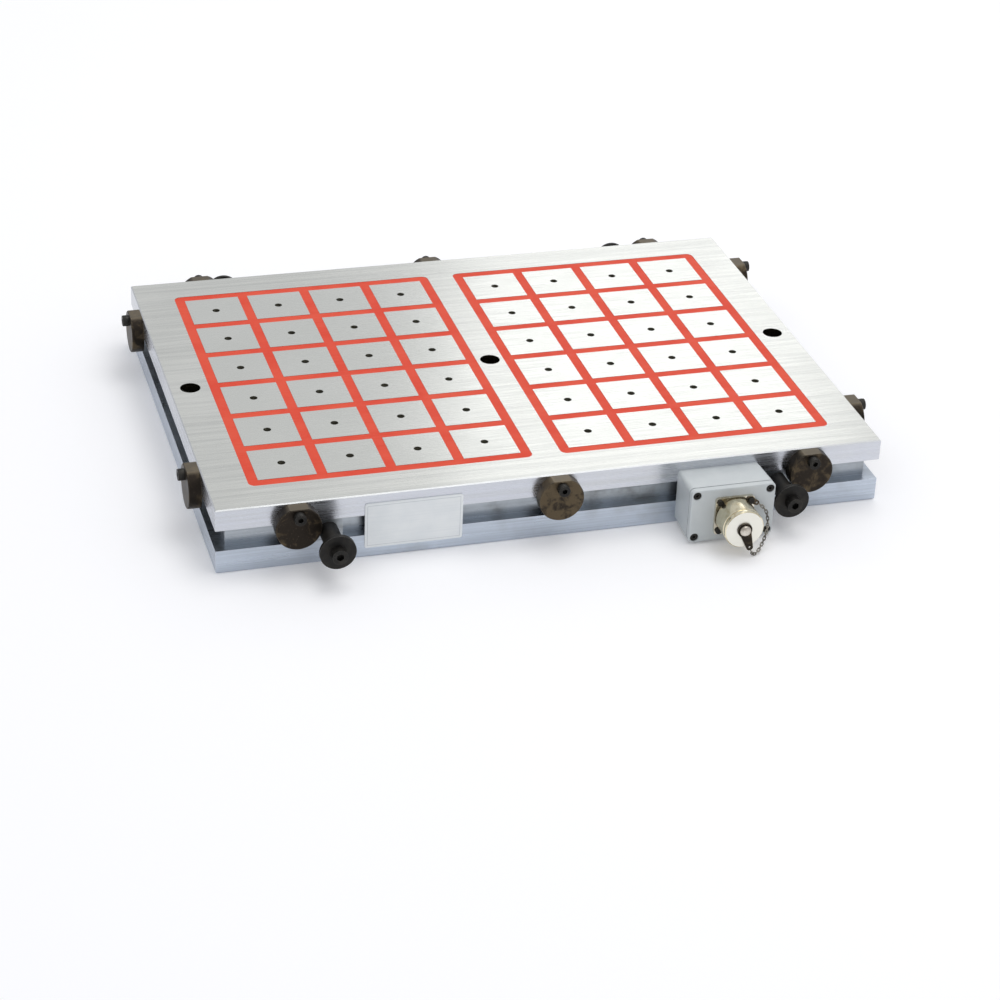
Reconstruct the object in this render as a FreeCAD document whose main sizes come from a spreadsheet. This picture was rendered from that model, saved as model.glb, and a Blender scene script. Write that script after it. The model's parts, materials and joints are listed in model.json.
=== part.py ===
import FreeCAD, Part
import math
import os
import re

import Sketcher
from FreeCAD import Placement, Rotation, Vector

# Electro-permanent magnetic chuck with square poles.
# Frame: +Z up, origin at the centre of the base plate's underside, front at -Y.

doc = FreeCAD.newDocument("magnetic_chuck")

DIMENSIONS = {
    "plate_width": 585,          # X size of base plate and face frame
    "plate_depth": 430,          # Y size of base plate and face frame
    "total_height": 60,
    "thread_slack": 0.1,         # a bore wider than the thread or pin it holds
    "hole_slack": 0.5,           # a clearance hole wider than its screw
    "wide_slack": 1,             # the same for the long body screws
    "seat_gap": 0.05,            # between faces that turn or rest on each other
    "base_thickness": 21.5,
    "face_thickness": 19.5,
    "groove_inset": 9.5,         # how far the side frame stands back
    "edge_break": 1,             # chamfer round the ground face
    "foot_break": 1.5,           # chamfer round the underside
    "pole_side": 50,
    "pole_gap": 9,
    "pole_height": 26,
    "pole_tap": 6.8,             # tapping size of the M8 hole in a pole
    "pole_tap_depth": 16,
    "field_columns": 4,
    "field_rows": 6,
    "field_spacing": 25,         # steel between the two fields
    "field_corner": 6,
    "resin_depth": 10,
    "resin_sink": 0.2,           # resin sits this far under the ground face
    "magnet_length": 46,
    "magnet_thickness": 8.6,
    "magnet_height": 16,
    "core_side": 38,
    "core_height": 22,
    "coil_outside": 49,
    "coil_inside": 38.6,
    "coil_height": 19,
    "cavity_depth": 9.5,         # pockets in the top of the base plate
    "mount_bore": 11,            # M10 clearance
    "mount_counterbore": 18,
    "mount_counterbore_depth": 12,
    "mount_offset": 274.2,       # outer mounting holes from the middle one
    "socket_ratio": 0.75,        # hex socket across flats over thread size
    "socket_depth_ratio": 0.6,   # socket depth over head height
    "body_screw": 8,
    "body_screw_head": 13,
    "body_screw_head_height": 8,
    "body_screw_sink": 0.6,      # head below the underside
    "body_screw_length": 44,
    "body_screw_tap": 13,        # hole in the face frame
    "body_screw_inset": 24.5,    # from the plate's edges
    "body_screw_front": 95,      # X of the inner screws along front and back
    "body_screw_side": 70,       # Y of the inner screws along the sides
    "stop_diameter": 39,
    "stop_thickness": 11,
    "stop_throw": 11.5,          # pivot to disc centre
    "stop_flat": 17.9,           # disc centre to its flat
    "stop_gap": 0.1,             # disc to the side face
    "stop_edge": 0.6,
    "stop_pivot_height": 52.4,
    "stop_bore": 6.1,
    "stop_screw": 6,
    "stop_screw_head": 10,
    "stop_screw_head_height": 6,
    "stop_screw_grip": 20,       # thread length in the face frame
    "stop_corner_offset": 225,   # X of the corner stops, front and back
    "stop_side_back": 158,       # Y of the rear stop on each side
    "stop_side_front": 137,      # Y of the front stop on each side, towards -Y
    "bollard_offset": 198,
    "bollard_height": 30,
    "bollard_shaft": 16.4,
    "bollard_flange": 30.8,
    "bollard_flange_thickness": 3.5,
    "bollard_length": 36.5,      # side face to the flange's outer face
    "bollard_chamfer": 1,        # where the shaft meets the flange
    "bollard_screw": 8,
    "bollard_screw_head": 13,
    "bollard_screw_head_height": 8,
    "bollard_screw_grip": 24,
    "bollard_pad": 24,
    "bollard_pad_sink": 0.4,     # pad face behind the side face
    "box_centre": 142.8,         # X of the connector housing
    "box_middle": 27.4,          # Z of its middle
    "box_width": 75.5,
    "box_height": 50,
    "box_depth": 33.5,           # side face to the gasket
    "box_wall": 3,
    "box_corner": 4,
    "box_draft": 2.4,            # degrees, the housing widens towards its lid
    "box_boss": 8,
    "box_boss_length": 16,
    "box_fixing": 24,            # fixing screws either side of the middle
    "box_fixing_low": 13,
    "box_fixing_high": 44,
    "box_screw": 4,
    "box_screw_head": 7,
    "box_screw_head_height": 4,
    "box_screw_grip": 14,
    "bush_outside": 16,
    "bush_inside": 11,
    "bush_height": 31,
    "lid_thickness": 5,
    "gasket_thickness": 1,
    "lid_screw_width": 65.5,
    "lid_screw_height": 40,
    "lid_screw": 4,
    "lid_screw_head": 7,
    "lid_screw_head_height": 2.8,
    "lid_screw_sink": 3.6,
    "lid_screw_length": 12,
    "lid_edge": 1.2,
    "connector_shift": 0.7,      # connector axis right of the housing's middle
    "connector_drop": 0.4,       # and below it
    "flange_side": 34.6,
    "flange_thickness": 3,
    "flange_corner": 3,
    "flange_screw_spacing": 27,
    "flange_screw": 3,
    "flange_screw_head": 5.4,
    "flange_screw_head_height": 1.8,
    "barrel_outside": 29,
    "barrel_inside": 24,
    "barrel_length": 18,
    "barrel_rear": 27.4,
    "barrel_rear_length": 13,
    "insert_length": 20,
    "pin_diameter": 3,
    "pin_circle": 13,
    "pin_length": 30,
    "cap_outside": 34.8,
    "cap_inside": 29.8,
    "cap_length": 22,
    "cap_wall": 3.6,
    "cap_bevel": 1,
    "seal_thickness": 2.6,
    "seal_inside": 20.8,
    "cap_gap": 3,                # flange face to the cap's rim
    "rivet_head": 9.6,
    "rivet_head_height": 3,
    "rivet_neck": 5,
    "rivet_tail": 1.3,           # flare of the rivet inside the cap
    "rivet_round": 2.4,
    "lug_thickness": 1.2,
    "lug_eye": 13,
    "lug_tip": 6,
    "lug_length": 18,
    "lug_tilt": 18,              # degrees off plumb
    "eye_wide": 7,
    "eye_narrow": 4.6,
    "eye_length": 6.5,
    "eye_thickness": 1,
    "eye_tilt": 60,
    "chain_wire": 1,
    "chain_width": 3,
    "chain_tilt": 25,            # degrees off plumb where it meets the lug
    "chain_share": 0.45,         # part of a run that each bend takes up
    "label_width": 84,
    "label_height": 42,
    "label_corner": 2,
    "label_thickness": 1,
    "label_centre": 125.4,       # X of its centre, towards -X
    "label_middle": 30.5,        # Z of its centre
}

sheet = doc.addObject("Spreadsheet::Sheet", "Dims")
for row, (alias, number) in enumerate(DIMENSIONS.items(), start=1):
    sheet.set(f"A{row}", alias)
    sheet.set(f"B{row}", str(number))
    sheet.setAlias(f"B{row}", alias)
doc.recompute()

NODES = []


def formula(text):
    """Expression in which each dimension's name is led by the sheet's."""
    return re.sub(r"[a-z_]{3,}", lambda word: f"Dims.{word[0]}" if word[0] in DIMENSIONS else word[0], text)


def number(text):
    """Value of a formula over the spreadsheet."""
    return float(sheet.evalExpression(formula(text)))


def bind(item, **sizes):
    """Ties properties of an object to formulas over the spreadsheet."""
    for name, text in sizes.items():
        item.setExpression(name, formula(text))


def new_body(label):
    """Empty body whose label names its file."""
    body = doc.addObject("PartDesign::Body", label)
    body.Label = label
    return body


def keep(item):
    """Counts an object as a sub-part of the chuck."""
    NODES.append(item)
    return item


def place(item, x="0", y="0", z="0", rotation=Rotation()):
    """Puts an object at a point given by formulas."""
    item.Placement = Placement(Vector(number(x), number(y), number(z)), rotation)
    for axis, text in zip("xyz", (x, y, z)):
        item.setExpression(f"Placement.Base.{axis}", formula(text))


# ---------------------------------------------------------------- sketches


def sketch_on(body, height="0", role="XY_Plane"):
    """Sketch on one of the body's own origin planes, raised along its normal."""
    sketch = body.newObject("Sketcher::SketchObject", f"{body.Name}_sketch")
    plane = next(item for item in body.Origin.OriginFeatures if item.Role == role)
    sketch.AttachmentSupport = [(plane, "")]
    sketch.MapMode = "FlatFace"
    sketch.AttachmentOffset = Placement(Vector(0, 0, number(height)), Rotation())
    sketch.setExpression("AttachmentOffset.Base.z", formula(height))
    return sketch


def measure(sketch, text, *constraint):
    """Adds a dimensional constraint whose value is a formula."""
    index = sketch.addConstraint(Sketcher.Constraint(*constraint, number(text)))
    sketch.setExpression(f"Constraints[{index}]", formula(text))


def locate(sketch, geometry, point, x, y):
    """Fixes a point of the geometry at (x, y) from the sketch's origin."""
    for kind, axis, text in (("DistanceX", -2, x), ("DistanceY", -1, y)):
        if text == "0":
            sketch.addConstraint(Sketcher.Constraint("PointOnObject", geometry, point, axis))
        else:
            measure(sketch, text, kind, -1, 1, geometry, point)


def circle(sketch, diameter, x="0", y="0"):
    """Circle of the given diameter about (x, y)."""
    centre = Vector(number(x), number(y), 0)
    ring = sketch.addGeometry(Part.Circle(centre, Vector(0, 0, 1), number(diameter) / 2))
    measure(sketch, diameter, "Diameter", ring)
    locate(sketch, ring, 3, x, y)
    return ring


def rectangle(sketch, width, depth, x="0", y="0"):
    """Rectangle of the given size centred on (x, y)."""
    half_x, half_y = number(width) / 2, number(depth) / 2
    centre = Vector(number(x), number(y), 0)
    corners = [centre + Vector(a * half_x, b * half_y, 0) for a, b in ((-1, -1), (1, -1), (1, 1), (-1, 1))]
    first = sketch.GeometryCount
    for side in range(4):
        sketch.addGeometry(Part.LineSegment(corners[side], corners[(side + 1) % 4]))
    for side in range(4):
        sketch.addConstraint(Sketcher.Constraint("Coincident", first + side, 2, first + (side + 1) % 4, 1))
        sketch.addConstraint(Sketcher.Constraint("Vertical" if side % 2 else "Horizontal", first + side))
    middle = sketch.addGeometry(Part.Point(centre), True)
    sketch.addConstraint(Sketcher.Constraint("Symmetric", first, 1, first + 2, 1, middle, 1))
    measure(sketch, width, "DistanceX", first, 1, first, 2)
    measure(sketch, depth, "DistanceY", first + 1, 1, first + 1, 2)
    locate(sketch, middle, 1, x, y)


def rounded_rectangle(sketch, width, depth, corner, x="0", y="0"):
    """Rectangle centred on (x, y) whose corners are arcs; sides and arcs alternate."""
    radius = number(corner)
    half_x, half_y = number(width) / 2 - radius, number(depth) / 2 - radius
    centre = Vector(number(x), number(y), 0)
    hubs = [centre + Vector(a * half_x, b * half_y, 0) for a, b in ((1, -1), (1, 1), (-1, 1), (-1, -1))]
    first = sketch.GeometryCount
    for side in range(4):
        outward = Vector(math.sin(side * math.pi / 2), -math.cos(side * math.pi / 2), 0) * radius
        sketch.addGeometry(Part.LineSegment(hubs[side - 1] + outward, hubs[side] + outward))
        bend = Part.Circle(hubs[side], Vector(0, 0, 1), radius)
        sketch.addGeometry(Part.ArcOfCircle(bend, (side - 1) * math.pi / 2, side * math.pi / 2))
    for side in range(4):
        line, arc, following = first + 2 * side, first + 2 * side + 1, first + (2 * side + 2) % 8
        sketch.addConstraint(Sketcher.Constraint("Tangent", line, 2, arc, 1))
        sketch.addConstraint(Sketcher.Constraint("Tangent", arc, 2, following, 1))
        sketch.addConstraint(Sketcher.Constraint("Vertical" if side % 2 else "Horizontal", line))
        if side:
            sketch.addConstraint(Sketcher.Constraint("Equal", first + 1, arc))
    middle = sketch.addGeometry(Part.Point(centre), True)
    sketch.addConstraint(Sketcher.Constraint("Symmetric", first + 1, 3, first + 5, 3, middle, 1))
    measure(sketch, corner, "Radius", first + 1)
    measure(sketch, width, "DistanceX", first + 6, 1, first + 2, 1)
    measure(sketch, depth, "DistanceY", first, 1, first + 4, 1)
    locate(sketch, middle, 1, x, y)


def outline(sketch, points):
    """Closed outline of straight lines through points given by formulas."""
    corners = [Vector(number(x), number(y), 0) for x, y in points]
    count = len(corners)
    first = sketch.GeometryCount
    for side in range(count):
        sketch.addGeometry(Part.LineSegment(corners[side], corners[(side + 1) % count]))
    for side, (x, y) in enumerate(points):
        sketch.addConstraint(Sketcher.Constraint("Coincident", first + side, 1, first + (side - 1) % count, 2))
        locate(sketch, first + side, 1, x, y)


def hexagon(sketch, across_flats):
    """Regular hexagon about the origin, standing on a corner."""
    radius = number(across_flats) / math.sqrt(3)
    corners = [Vector(radius * math.sin(turn), radius * math.cos(turn), 0)
               for turn in (math.radians(60 * side) for side in range(6))]
    guide = sketch.addGeometry(Part.Circle(Vector(0, 0, 0), Vector(0, 0, 1), radius), True)
    sketch.addConstraint(Sketcher.Constraint("Coincident", guide, 3, -1, 1))
    measure(sketch, f"{across_flats} / sqrt(3)", "Radius", guide)
    for side in range(6):
        sketch.addGeometry(Part.LineSegment(corners[side], corners[(side + 1) % 6]))
    for side in range(6):
        line, following = guide + 1 + side, guide + 1 + (side + 1) % 6
        sketch.addConstraint(Sketcher.Constraint("Coincident", line, 2, following, 1))
        sketch.addConstraint(Sketcher.Constraint("PointOnObject", line, 2, guide))
        if side:
            sketch.addConstraint(Sketcher.Constraint("Equal", guide + 1, line))
    sketch.addConstraint(Sketcher.Constraint("PointOnObject", guide + 1, 1, -2))


# ---------------------------------------------------------------- features


def pad(body, sketch, length, reverse=False, taper="0"):
    """Adds material along the sketch's normal, or against it."""
    feature = body.newObject("PartDesign::Pad", f"{body.Name}_pad")
    feature.Profile = sketch
    feature.Reversed = reverse
    bind(feature, Length=length, TaperAngle=taper)
    return feature


def pocket(body, sketch, length=None, reverse=False, taper="0"):
    """Cuts against the sketch's normal, or along it, right through if no length is given."""
    feature = body.newObject("PartDesign::Pocket", f"{body.Name}_pocket")
    feature.Profile = sketch
    feature.Reversed = reverse
    if length is None:
        feature.Type = "ThroughAll"
    else:
        bind(feature, Length=length, TaperAngle=taper)
    return feature


def counterbored(body, sketch, diameter, wide, deep, reverse=False):
    """Through holes at the sketch's circles, each with a counterbore."""
    doc.recompute()
    feature = body.newObject("PartDesign::Hole", f"{body.Name}_hole")
    feature.Profile = sketch
    feature.Reversed = reverse
    feature.DepthType = "ThroughAll"
    feature.HoleCutType = "Counterbore"
    feature.HoleCutCustomValues = True
    bind(feature, Diameter=diameter, HoleCutDiameter=wide, HoleCutDepth=deep)
    return feature


def revolve(body, sketch):
    """Turns a profile on the XZ plane about the body's Z axis."""
    feature = body.newObject("PartDesign::Revolution", f"{body.Name}_turning")
    feature.Profile = sketch
    feature.ReferenceAxis = (sketch, ["V_Axis"])
    feature.Angle = 360
    return feature


def edges_where(feature, test):
    """Names of the feature's edges whose two ends and middle all pass the test."""
    names = []
    for index, edge in enumerate(feature.Shape.Edges, start=1):
        ends = [vertex.Point for vertex in edge.Vertexes]
        middle = edge.valueAt((edge.FirstParameter + edge.LastParameter) / 2)
        if all(test(point) for point in ends + [middle]):
            names.append(f"Edge{index}")
    return names


def soften(body, kind, amount, test):
    """Chamfer or fillet of the given size on the edges that pass the test."""
    doc.recompute()
    base = body.Tip
    feature = body.newObject(f"PartDesign::{kind}", f"{body.Name}_{kind.lower()}")
    feature.Base = (base, edges_where(base, test))
    bind(feature, **{"Size" if kind == "Chamfer" else "Radius": amount})
    return feature


def pattern(body, features, columns, rows, pitch):
    """Repeats features along X and Y of the body's first sketch."""
    sketch = features[0].Profile[0]
    feature = body.newObject("PartDesign::LinearPattern", f"{body.Name}_pattern")
    feature.Originals = features
    feature.Direction = (sketch, ["H_Axis"])
    feature.Direction2 = (sketch, ["V_Axis"])
    bind(feature, Length=f"({columns} - 1) * ({pitch})", Length2=f"({rows} - 1) * ({pitch})")
    bind(feature, Occurrences=columns, Occurrences2=rows)
    body.Tip = feature
    return feature


# ---------------------------------------------------------------- places

POLE_PITCH = "(pole_side + pole_gap)"
FIELD_WIDTH = f"(field_columns * {POLE_PITCH} + pole_gap)"
FIELD_DEPTH = f"(field_rows * {POLE_PITCH} + pole_gap)"
FIELD_CENTRE = f"((field_spacing + {FIELD_WIDTH}) / 2)"
FACE_BOTTOM = "(total_height - face_thickness)"
GROOVE_HEIGHT = f"({FACE_BOTTOM} - base_thickness)"
POLE_BOTTOM = "(total_height - pole_height)"
CORE_BOTTOM = f"({POLE_BOTTOM} - core_height)"
FIRST_ROW = f"(-(field_rows - 1) / 2 * {POLE_PITCH})"
SIDE_TURN = {"front": 0, "right": 90, "back": 180, "left": 270}

STOPS = {
    "stop_front_left": ("front", "-stop_corner_offset"),
    "stop_front_middle": ("front", "0"),
    "stop_front_right": ("front", "stop_corner_offset"),
    "stop_back_left": ("back", "-stop_corner_offset"),
    "stop_back_middle": ("back", "0"),
    "stop_back_right": ("back", "stop_corner_offset"),
    "stop_left_front": ("left", "-stop_side_front"),
    "stop_left_back": ("left", "stop_side_back"),
    "stop_right_front": ("right", "-stop_side_front"),
    "stop_right_back": ("right", "stop_side_back"),
}
BOLLARDS = {
    "bollard_front_left": ("front", "-bollard_offset"),
    "bollard_front_right": ("front", "bollard_offset"),
    "bollard_back_left": ("back", "-bollard_offset"),
    "bollard_back_right": ("back", "bollard_offset"),
}
BODY_SCREWS = [(f"{a} * ({x})", f"{b} * ({y})")
               for x, y in (("plate_width / 2 - body_screw_inset", "plate_depth / 2 - body_screw_inset"),
                            ("body_screw_front", "plate_depth / 2 - body_screw_inset"),
                            ("plate_width / 2 - body_screw_inset", "body_screw_side"))
               for a in (-1, 1) for b in (-1, 1)]
MOUNT_BORES = ("-mount_offset", "0", "mount_offset")
CORNERS = [(a, b) for a in (-1, 1) for b in (-1, 1)]


def on_side(item, side, along, height, out="0"):
    """Stands an object on a side face, its own Z pointing outwards and its Y up."""
    turn = Rotation(Vector(0, 0, 1), SIDE_TURN[side]) * Rotation(Vector(1, 0, 0), 90)
    reach = f"plate_depth / 2 + {out}" if side in ("front", "back") else f"plate_width / 2 + {out}"
    reach = f"-({reach})" if side in ("front", "left") else reach
    x, y = (along, reach) if side in ("front", "back") else (reach, along)
    place(item, x, y, height, turn)


def drill_side(body, side, spots, diameter, depth, stand, lift="0"):
    """Blind holes square to a side face, at (along, height) spots."""
    role = "XZ_Plane" if side in ("front", "back") else "YZ_Plane"
    towards_normal = side in ("front", "right")
    sketch = sketch_on(body, stand if towards_normal else f"-({stand})", role)
    for along, height in spots:
        circle(sketch, diameter, along, f"{height} - {lift}")
    pocket(body, sketch, depth, reverse=not towards_normal)


def spots_on(places, side, height):
    """Spots of the pieces that stand on one side face."""
    return [(along, height) for face, along in places.values() if face == side]


# ---------------------------------------------------------------- plates and frames


def on_outline(spot):
    """Whether a point lies on the plates' outer outline."""
    return (abs(abs(spot.x) - number("plate_width / 2")) < 0.01
            or abs(abs(spot.y) - number("plate_depth / 2")) < 0.01)


def field_openings(body, height, length):
    """Cuts the two round-cornered pole fields down from a height."""
    sketch = sketch_on(body, height)
    for side in (-1, 1):
        rounded_rectangle(sketch, FIELD_WIDTH, FIELD_DEPTH, "field_corner", f"{side} * {FIELD_CENTRE}")
    pocket(body, sketch, length)


def body_screw_holes(body, diameter, height):
    """Sketch of the holes for the screws that hold the three layers together."""
    sketch = sketch_on(body, height)
    for x, y in BODY_SCREWS:
        circle(sketch, diameter, x, y)
    return sketch


def mounting_holes(body, height):
    """Sketch of the three holes for the screws that hold the chuck to a table."""
    sketch = sketch_on(body, height)
    for x in MOUNT_BORES:
        circle(sketch, "mount_bore", x)
    return sketch


def make_base_plate():
    """Lower flange: coil pockets in its top, counterbores of the body screws below."""
    body = keep(new_body("base_plate"))
    sketch = sketch_on(body)
    rectangle(sketch, "plate_width", "plate_depth")
    pad(body, sketch, "base_thickness")
    field_openings(body, "base_thickness", "cavity_depth")
    sketch = body_screw_holes(body, "body_screw + wide_slack", "0")
    counterbored(body, sketch, "body_screw + wide_slack", "body_screw_head + wide_slack",
                 "body_screw_head_height + body_screw_sink", reverse=True)
    pocket(body, mounting_holes(body, "base_thickness"))
    drill_side(body, "front", housing_fixings("box_fixing_low"), "box_screw + thread_slack",
               "box_screw_grip", "plate_depth / 2")
    soften(body, "Chamfer", "foot_break", lambda spot: spot.z < 0.01 and on_outline(spot))


def make_side_frame():
    """Band that stands back from the flanges, with a pad out to each bollard."""
    body = keep(new_body("side_frame"))
    sketch = sketch_on(body)
    rectangle(sketch, "plate_width - 2 * groove_inset", "plate_depth - 2 * groove_inset")
    pad(body, sketch, GROOVE_HEIGHT)
    sketch = sketch_on(body)
    pad_reach = "(groove_inset + 2 - bollard_pad_sink)"
    for side, along in BOLLARDS.values():
        sign = -1 if side == "front" else 1
        rectangle(sketch, "bollard_pad", pad_reach, along,
                  f"{sign} * (plate_depth / 2 - bollard_pad_sink - {pad_reach} / 2)")
    pad(body, sketch, GROOVE_HEIGHT)
    field_openings(body, GROOVE_HEIGHT, None)
    pocket(body, body_screw_holes(body, "body_screw + wide_slack", GROOVE_HEIGHT))
    pocket(body, mounting_holes(body, GROOVE_HEIGHT))
    for side in ("front", "back"):
        drill_side(body, side, spots_on(BOLLARDS, side, "bollard_height"), "bollard_screw + thread_slack",
                   "bollard_screw_grip", "plate_depth / 2 - bollard_pad_sink", "base_thickness")
    drill_side(body, "front", [("box_centre", "bush_height")], "bush_outside + thread_slack",
               "plate_depth / 4", "plate_depth / 2", "base_thickness")
    place(body, z="base_thickness")


def make_face_frame():
    """Upper flange around the two pole fields, ground on top."""
    body = keep(new_body("face_frame"))
    sketch = sketch_on(body)
    rectangle(sketch, "plate_width", "plate_depth")
    pad(body, sketch, "face_thickness")
    field_openings(body, "face_thickness", None)
    sketch = mounting_holes(body, "face_thickness")
    counterbored(body, sketch, "mount_bore", "mount_counterbore", "mount_counterbore_depth")
    pocket(body, body_screw_holes(body, "body_screw + thread_slack", "0"), "body_screw_tap", reverse=True)
    for side in SIDE_TURN:
        stand = "plate_depth / 2" if side in ("front", "back") else "plate_width / 2"
        drill_side(body, side, spots_on(STOPS, side, "stop_pivot_height"), "stop_screw + thread_slack",
                   "stop_screw_grip", stand, FACE_BOTTOM)
    drill_side(body, "front", housing_fixings("box_fixing_high"), "box_screw + thread_slack",
               "box_screw_grip", "plate_depth / 2", FACE_BOTTOM)
    soften(body, "Chamfer", "edge_break",
           lambda spot: spot.z > number("face_thickness") - 0.01 and on_outline(spot))
    place(body, z=FACE_BOTTOM)


# ---------------------------------------------------------------- pole fields


def make_pole_columns():
    """Eight columns of six square poles, each pole tapped for extensions."""
    columns = int(number("field_columns"))
    for column in range(2 * columns):
        body = keep(new_body(f"pole_column_{column + 1}"))
        body.AllowCompound = True
        sketch = sketch_on(body)
        rectangle(sketch, "pole_side", "pole_side")
        block = pad(body, sketch, "pole_height")
        sketch = sketch_on(body, "pole_height")
        circle(sketch, "pole_tap")
        tap = pocket(body, sketch, "pole_tap_depth")
        pattern(body, [block, tap], "1", "field_rows", POLE_PITCH)
        field, step = divmod(column, columns)
        place(body, f"{2 * field - 1} * {FIELD_CENTRE} + ({step} - (field_columns - 1) / 2) * {POLE_PITCH}",
              FIRST_ROW, POLE_BOTTOM)


def repeated_in_fields(label, build, columns="field_columns", rows="field_rows", z="0"):
    """One sub-part for each field: a grid of equal solids centred on the field."""
    for side, sign in (("left", -1), ("right", 1)):
        body = keep(new_body(f"{label}_{side}"))
        body.AllowCompound = True
        pattern(body, build(body), columns, rows, POLE_PITCH)
        place(body, f"{sign} * {FIELD_CENTRE} - ({columns} - 1) / 2 * {POLE_PITCH}",
              f"-({rows} - 1) / 2 * {POLE_PITCH}", z)


def core_block(body):
    """One AlNiCo core, which the coil magnetises either way."""
    sketch = sketch_on(body)
    rectangle(sketch, "core_side", "core_side")
    return [pad(body, sketch, "core_height")]


def coil_ring(body):
    """One switching coil, a square winding round its core."""
    sketch = sketch_on(body)
    rectangle(sketch, "coil_outside", "coil_outside")
    rectangle(sketch, "coil_inside", "coil_inside")
    return [pad(body, sketch, "coil_height")]


def column_magnet(body):
    """One magnet that stands between two poles of a row."""
    sketch = sketch_on(body)
    rectangle(sketch, "magnet_thickness", "magnet_length")
    return [pad(body, sketch, "magnet_height")]


def row_magnet(body):
    """One magnet that stands between two poles of a column."""
    sketch = sketch_on(body)
    rectangle(sketch, "magnet_length", "magnet_thickness")
    return [pad(body, sketch, "magnet_height")]


def make_resin():
    """Potting resin between the poles, one grid for each field."""
    for side, sign in (("left", -1), ("right", 1)):
        body = keep(new_body(f"resin_{side}"))
        sketch = sketch_on(body)
        rounded_rectangle(sketch, FIELD_WIDTH, FIELD_DEPTH, "field_corner",
                          f"(field_columns - 1) / 2 * {POLE_PITCH}", f"(field_rows - 1) / 2 * {POLE_PITCH}")
        pad(body, sketch, "resin_depth - resin_sink")
        sketch = sketch_on(body, "resin_depth - resin_sink")
        rectangle(sketch, "pole_side", "pole_side")
        window = pocket(body, sketch)
        pattern(body, [window], "field_columns", "field_rows", POLE_PITCH)
        place(body, f"{sign} * {FIELD_CENTRE} - (field_columns - 1) / 2 * {POLE_PITCH}", FIRST_ROW,
              "total_height - resin_depth")


# ---------------------------------------------------------------- screws


def cap_screw(name, shank, head, head_height, length):
    """Socket head cap screw: its seat is the origin, its head towards +Z."""
    body = new_body(name)
    sketch = sketch_on(body)
    circle(sketch, head)
    pad(body, sketch, head_height)
    sketch = sketch_on(body)
    circle(sketch, shank)
    pad(body, sketch, length, reverse=True)
    sketch = sketch_on(body, head_height)
    hexagon(sketch, f"socket_ratio * {shank}")
    pocket(body, sketch, f"socket_depth_ratio * {head_height}")
    return body


def repeated(label, master, seats):
    """One sub-part of equal screws; a seat is a function that places its link."""
    links = []
    for seat in seats:
        link = doc.addObject("App::Link", f"{label}_{len(links) + 1}")
        link.setLink(master)
        seat(link)
        links.append(link)
    bundle = doc.addObject("Part::Compound", label)
    bundle.Label = label
    bundle.Links = links
    return keep(bundle)


def make_body_screws():
    """Screws that come up from below through all three layers."""
    master = cap_screw("body_screw_master", "body_screw", "body_screw_head", "body_screw_head_height",
                       "body_screw_length")
    head_down = Rotation(Vector(1, 0, 0), 180)
    seats = [lambda link, x=x, y=y: place(link, x, y, "body_screw_head_height + body_screw_sink", head_down)
             for x, y in BODY_SCREWS]
    repeated("body_screws", master, seats)


# ---------------------------------------------------------------- side hardware


def make_stops():
    """Eccentric stops: discs with one flat, each bored off centre for its screw."""
    for label, (side, along) in STOPS.items():
        body = keep(new_body(label))
        sketch = sketch_on(body, "stop_gap")
        circle(sketch, "stop_diameter", "0", "-stop_throw")
        pad(body, sketch, "stop_thickness")
        sketch = sketch_on(body, "stop_gap + stop_thickness")
        rectangle(sketch, "stop_diameter", "stop_throw", "0", "stop_flat - stop_throw / 2")
        circle(sketch, "stop_bore")
        pocket(body, sketch)
        soften(body, "Chamfer", "stop_edge", lambda spot: spot.z > number("stop_gap + stop_thickness") - 0.01
               and math.hypot(spot.x, spot.y) > number("stop_bore"))
        on_side(body, side, along, "stop_pivot_height")


def make_stop_screws():
    """Pivot screws of the stops, one in each."""
    length = "stop_gap + stop_thickness + stop_screw_grip - 1"
    master = cap_screw("stop_screw_master", "stop_screw", "stop_screw_head", "stop_screw_head_height", length)
    seats = [lambda link, side=side, along=along:
             on_side(link, side, along, "stop_pivot_height", "stop_gap + stop_thickness + seat_gap")
             for side, along in STOPS.values()]
    repeated("stop_screws", master, seats)


def make_bollards():
    """Lifting bollards: spools turned from bar, bolted through to the side frame."""
    shaft, flange, bore = "bollard_shaft / 2", "bollard_flange / 2", "(bollard_screw + hole_slack) / 2"
    end = "(bollard_length + bollard_pad_sink)"
    shoulder = f"({end} - bollard_flange_thickness)"
    for label, (side, along) in BOLLARDS.items():
        body = keep(new_body(label))
        sketch = sketch_on(body, role="XZ_Plane")
        outline(sketch, [(bore, "0"), (shaft, "0"), (shaft, shoulder), (flange, shoulder), (flange, end),
                         (bore, end)])
        revolve(body, sketch)
        soften(body, "Chamfer", "bollard_chamfer", lambda spot: abs(spot.z - number(shoulder)) < 0.01
               and math.hypot(spot.x, spot.y) < number(shaft) + 0.01)
        on_side(body, side, along, "bollard_height", "-bollard_pad_sink")


def make_bollard_screws():
    """Long screws of the bollards, one in each."""
    master = cap_screw("bollard_screw_master", "bollard_screw", "bollard_screw_head",
                       "bollard_screw_head_height", "bollard_length + bollard_screw_grip - 1")
    seats = [lambda link, side=side, along=along: on_side(link, side, along, "bollard_height", "bollard_length")
             for side, along in BOLLARDS.values()]
    repeated("bollard_screws", master, seats)


def make_name_plate():
    """Bare plate that bridges the groove at the front."""
    body = keep(new_body("name_plate"))
    sketch = sketch_on(body)
    rounded_rectangle(sketch, "label_width", "label_height", "label_corner")
    pad(body, sketch, "label_thickness")
    on_side(body, "front", "-label_centre", "label_middle")


# ---------------------------------------------------------------- connector housing

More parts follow.
